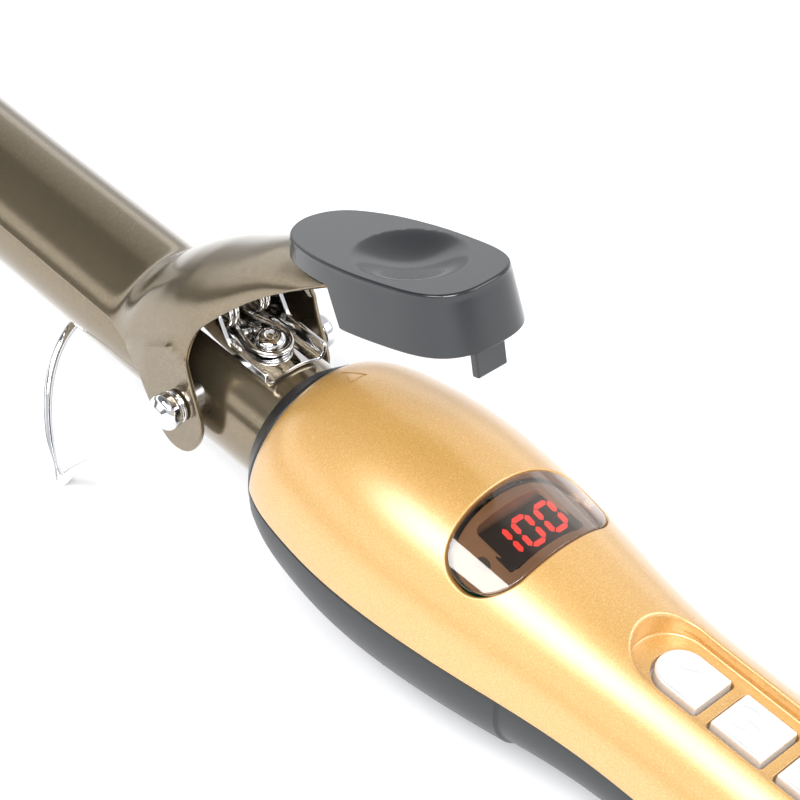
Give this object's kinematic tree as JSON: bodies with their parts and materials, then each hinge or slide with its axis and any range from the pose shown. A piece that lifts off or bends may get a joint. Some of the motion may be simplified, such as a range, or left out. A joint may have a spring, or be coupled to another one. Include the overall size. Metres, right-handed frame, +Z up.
{
  "type": "curling iron",
  "caption": "Hair curling iron with a spring clamp on a heated barrel, a thumb lever, a folding wire stand and a handle with a display and keys.",
  "frame": {"origin": "on the table, under the middle of the iron's bounding box, in its plane of symmetry", "axes": "+Z up, +Y towards the barrel's tip in plan, +X to the right seen from the handle; the iron rests on its wire stand and its grip, so its barrel rises towards the tip by 6.76 degrees"},
  "size_m": [0.047, 0.3454, 0.0891],
  "materials": {
    "pearl_bronze": "pearl metallic enamel, satin",
    "gold_paint": "pearl gold paint, satin",
    "grey_plastic": "fine satin moulded",
    "black_plastic": "satin moulded",
    "lever_plastic": "smooth heat-proof moulding",
    "smoked_lens": "clear smoked plastic, polished",
    "frame_brown": "satin moulded",
    "display_black": "glossy, red digits",
    "chrome": "bright plated",
    "spring_steel": "bright drawn wire",
    "steel": "zinc plated",
    "heater_core": "extruded",
    "heater_film": "polyimide film",
    "ceramic": "unglazed ceramic",
    "lead_sleeve": "glass-fibre sleeve",
    "board_green": "solder mask",
    "capacitor_red": "dipped film capacitor",
    "brass": "bright"
  },
  "bodies": {
    "handle": {"barrel_tube": "pearl_bronze", "tip_cap": "black_plastic", "heater_upper": "heater_core", "heater_lower": "heater_core", "heater_element": "heater_film", "thermistor": "ceramic", "heater_lead_left": "lead_sleeve", "heater_lead_right": "lead_sleeve", "barrel_holder": "ceramic", "collar_ring": "black_plastic", "handle_top_shell": "gold_paint", "handle_bottom_shell": "grey_plastic", "shell_screw_front": "steel", "shell_screw_rear": "steel", "window_lens": "smoked_lens", "circuit_board": "board_green", "display_frame": "frame_brown", "display_module": "display_black", "tact_switch_plus": "black_plastic", "tact_switch_power": "black_plastic", "tact_switch_minus": "black_plastic", "dropper_capacitor": "capacitor_red", "triac": "black_plastic", "swivel_retainer": "black_plastic", "contact_live": "brass", "contact_neutral": "brass", "supply_lead_live": "lead_sleeve", "supply_lead_neutral": "lead_sleeve", "spring_bracket": "chrome", "spring_axle": "chrome", "bracket_screw": "chrome", "torsion_spring": "spring_steel", "pivot_bush_left": "steel", "pivot_bush_right": "steel"},
    "clamp": {"clamp_plate": "pearl_bronze", "thumb_lever": "lever_plastic", "lever_screw": "steel"},
    "stand": {"stand_wire": "chrome", "pivot_pin_left": "chrome", "pivot_pin_right": "chrome"},
    "plus_key": {"button_plus": "chrome"},
    "power_key": {"button_power": "chrome"},
    "minus_key": {"button_minus": "chrome"},
    "cord_swivel": {"swivel_gland": "black_plastic", "slip_ring_live": "brass", "slip_ring_neutral": "brass"}
  },
  "joints": [
    {"name": "clamp_hinge", "type": "hinge", "parent": "handle", "child": "clamp", "pos_m": [0, 0.02061, 0.03851], "axis": [1, 0, 0], "range_deg": [0, 18], "stiffness_Nm_per_rad": 0.3, "springref_deg": -34.38, "deforming": ["torsion_spring"]},
    {"name": "stand_hinge", "type": "hinge", "parent": "handle", "child": "stand", "pos_m": [0, 0.02061, 0.03851], "axis": [1, 0, 0], "range_deg": [-90, 0]},
    {"name": "plus_press", "type": "slide", "parent": "handle", "child": "plus_key", "axis": [0, 0.1178, -0.993], "range_m": [0, 0.0005], "stiffness_N_per_m": 800, "springref_m": -0.0005},
    {"name": "power_press", "type": "slide", "parent": "handle", "child": "power_key", "axis": [0, 0.1178, -0.993], "range_m": [0, 0.0005], "stiffness_N_per_m": 800, "springref_m": -0.0005},
    {"name": "minus_press", "type": "slide", "parent": "handle", "child": "minus_key", "axis": [0, 0.1178, -0.993], "range_m": [0, 0.0005], "stiffness_N_per_m": 800, "springref_m": -0.0005},
    {"name": "cord_swivel_turn", "type": "hinge", "parent": "handle", "child": "cord_swivel", "pos_m": [0, -0.16489, 0.01479], "axis": [0, 0.993, 0.1178], "continuous": true}
  ]
}
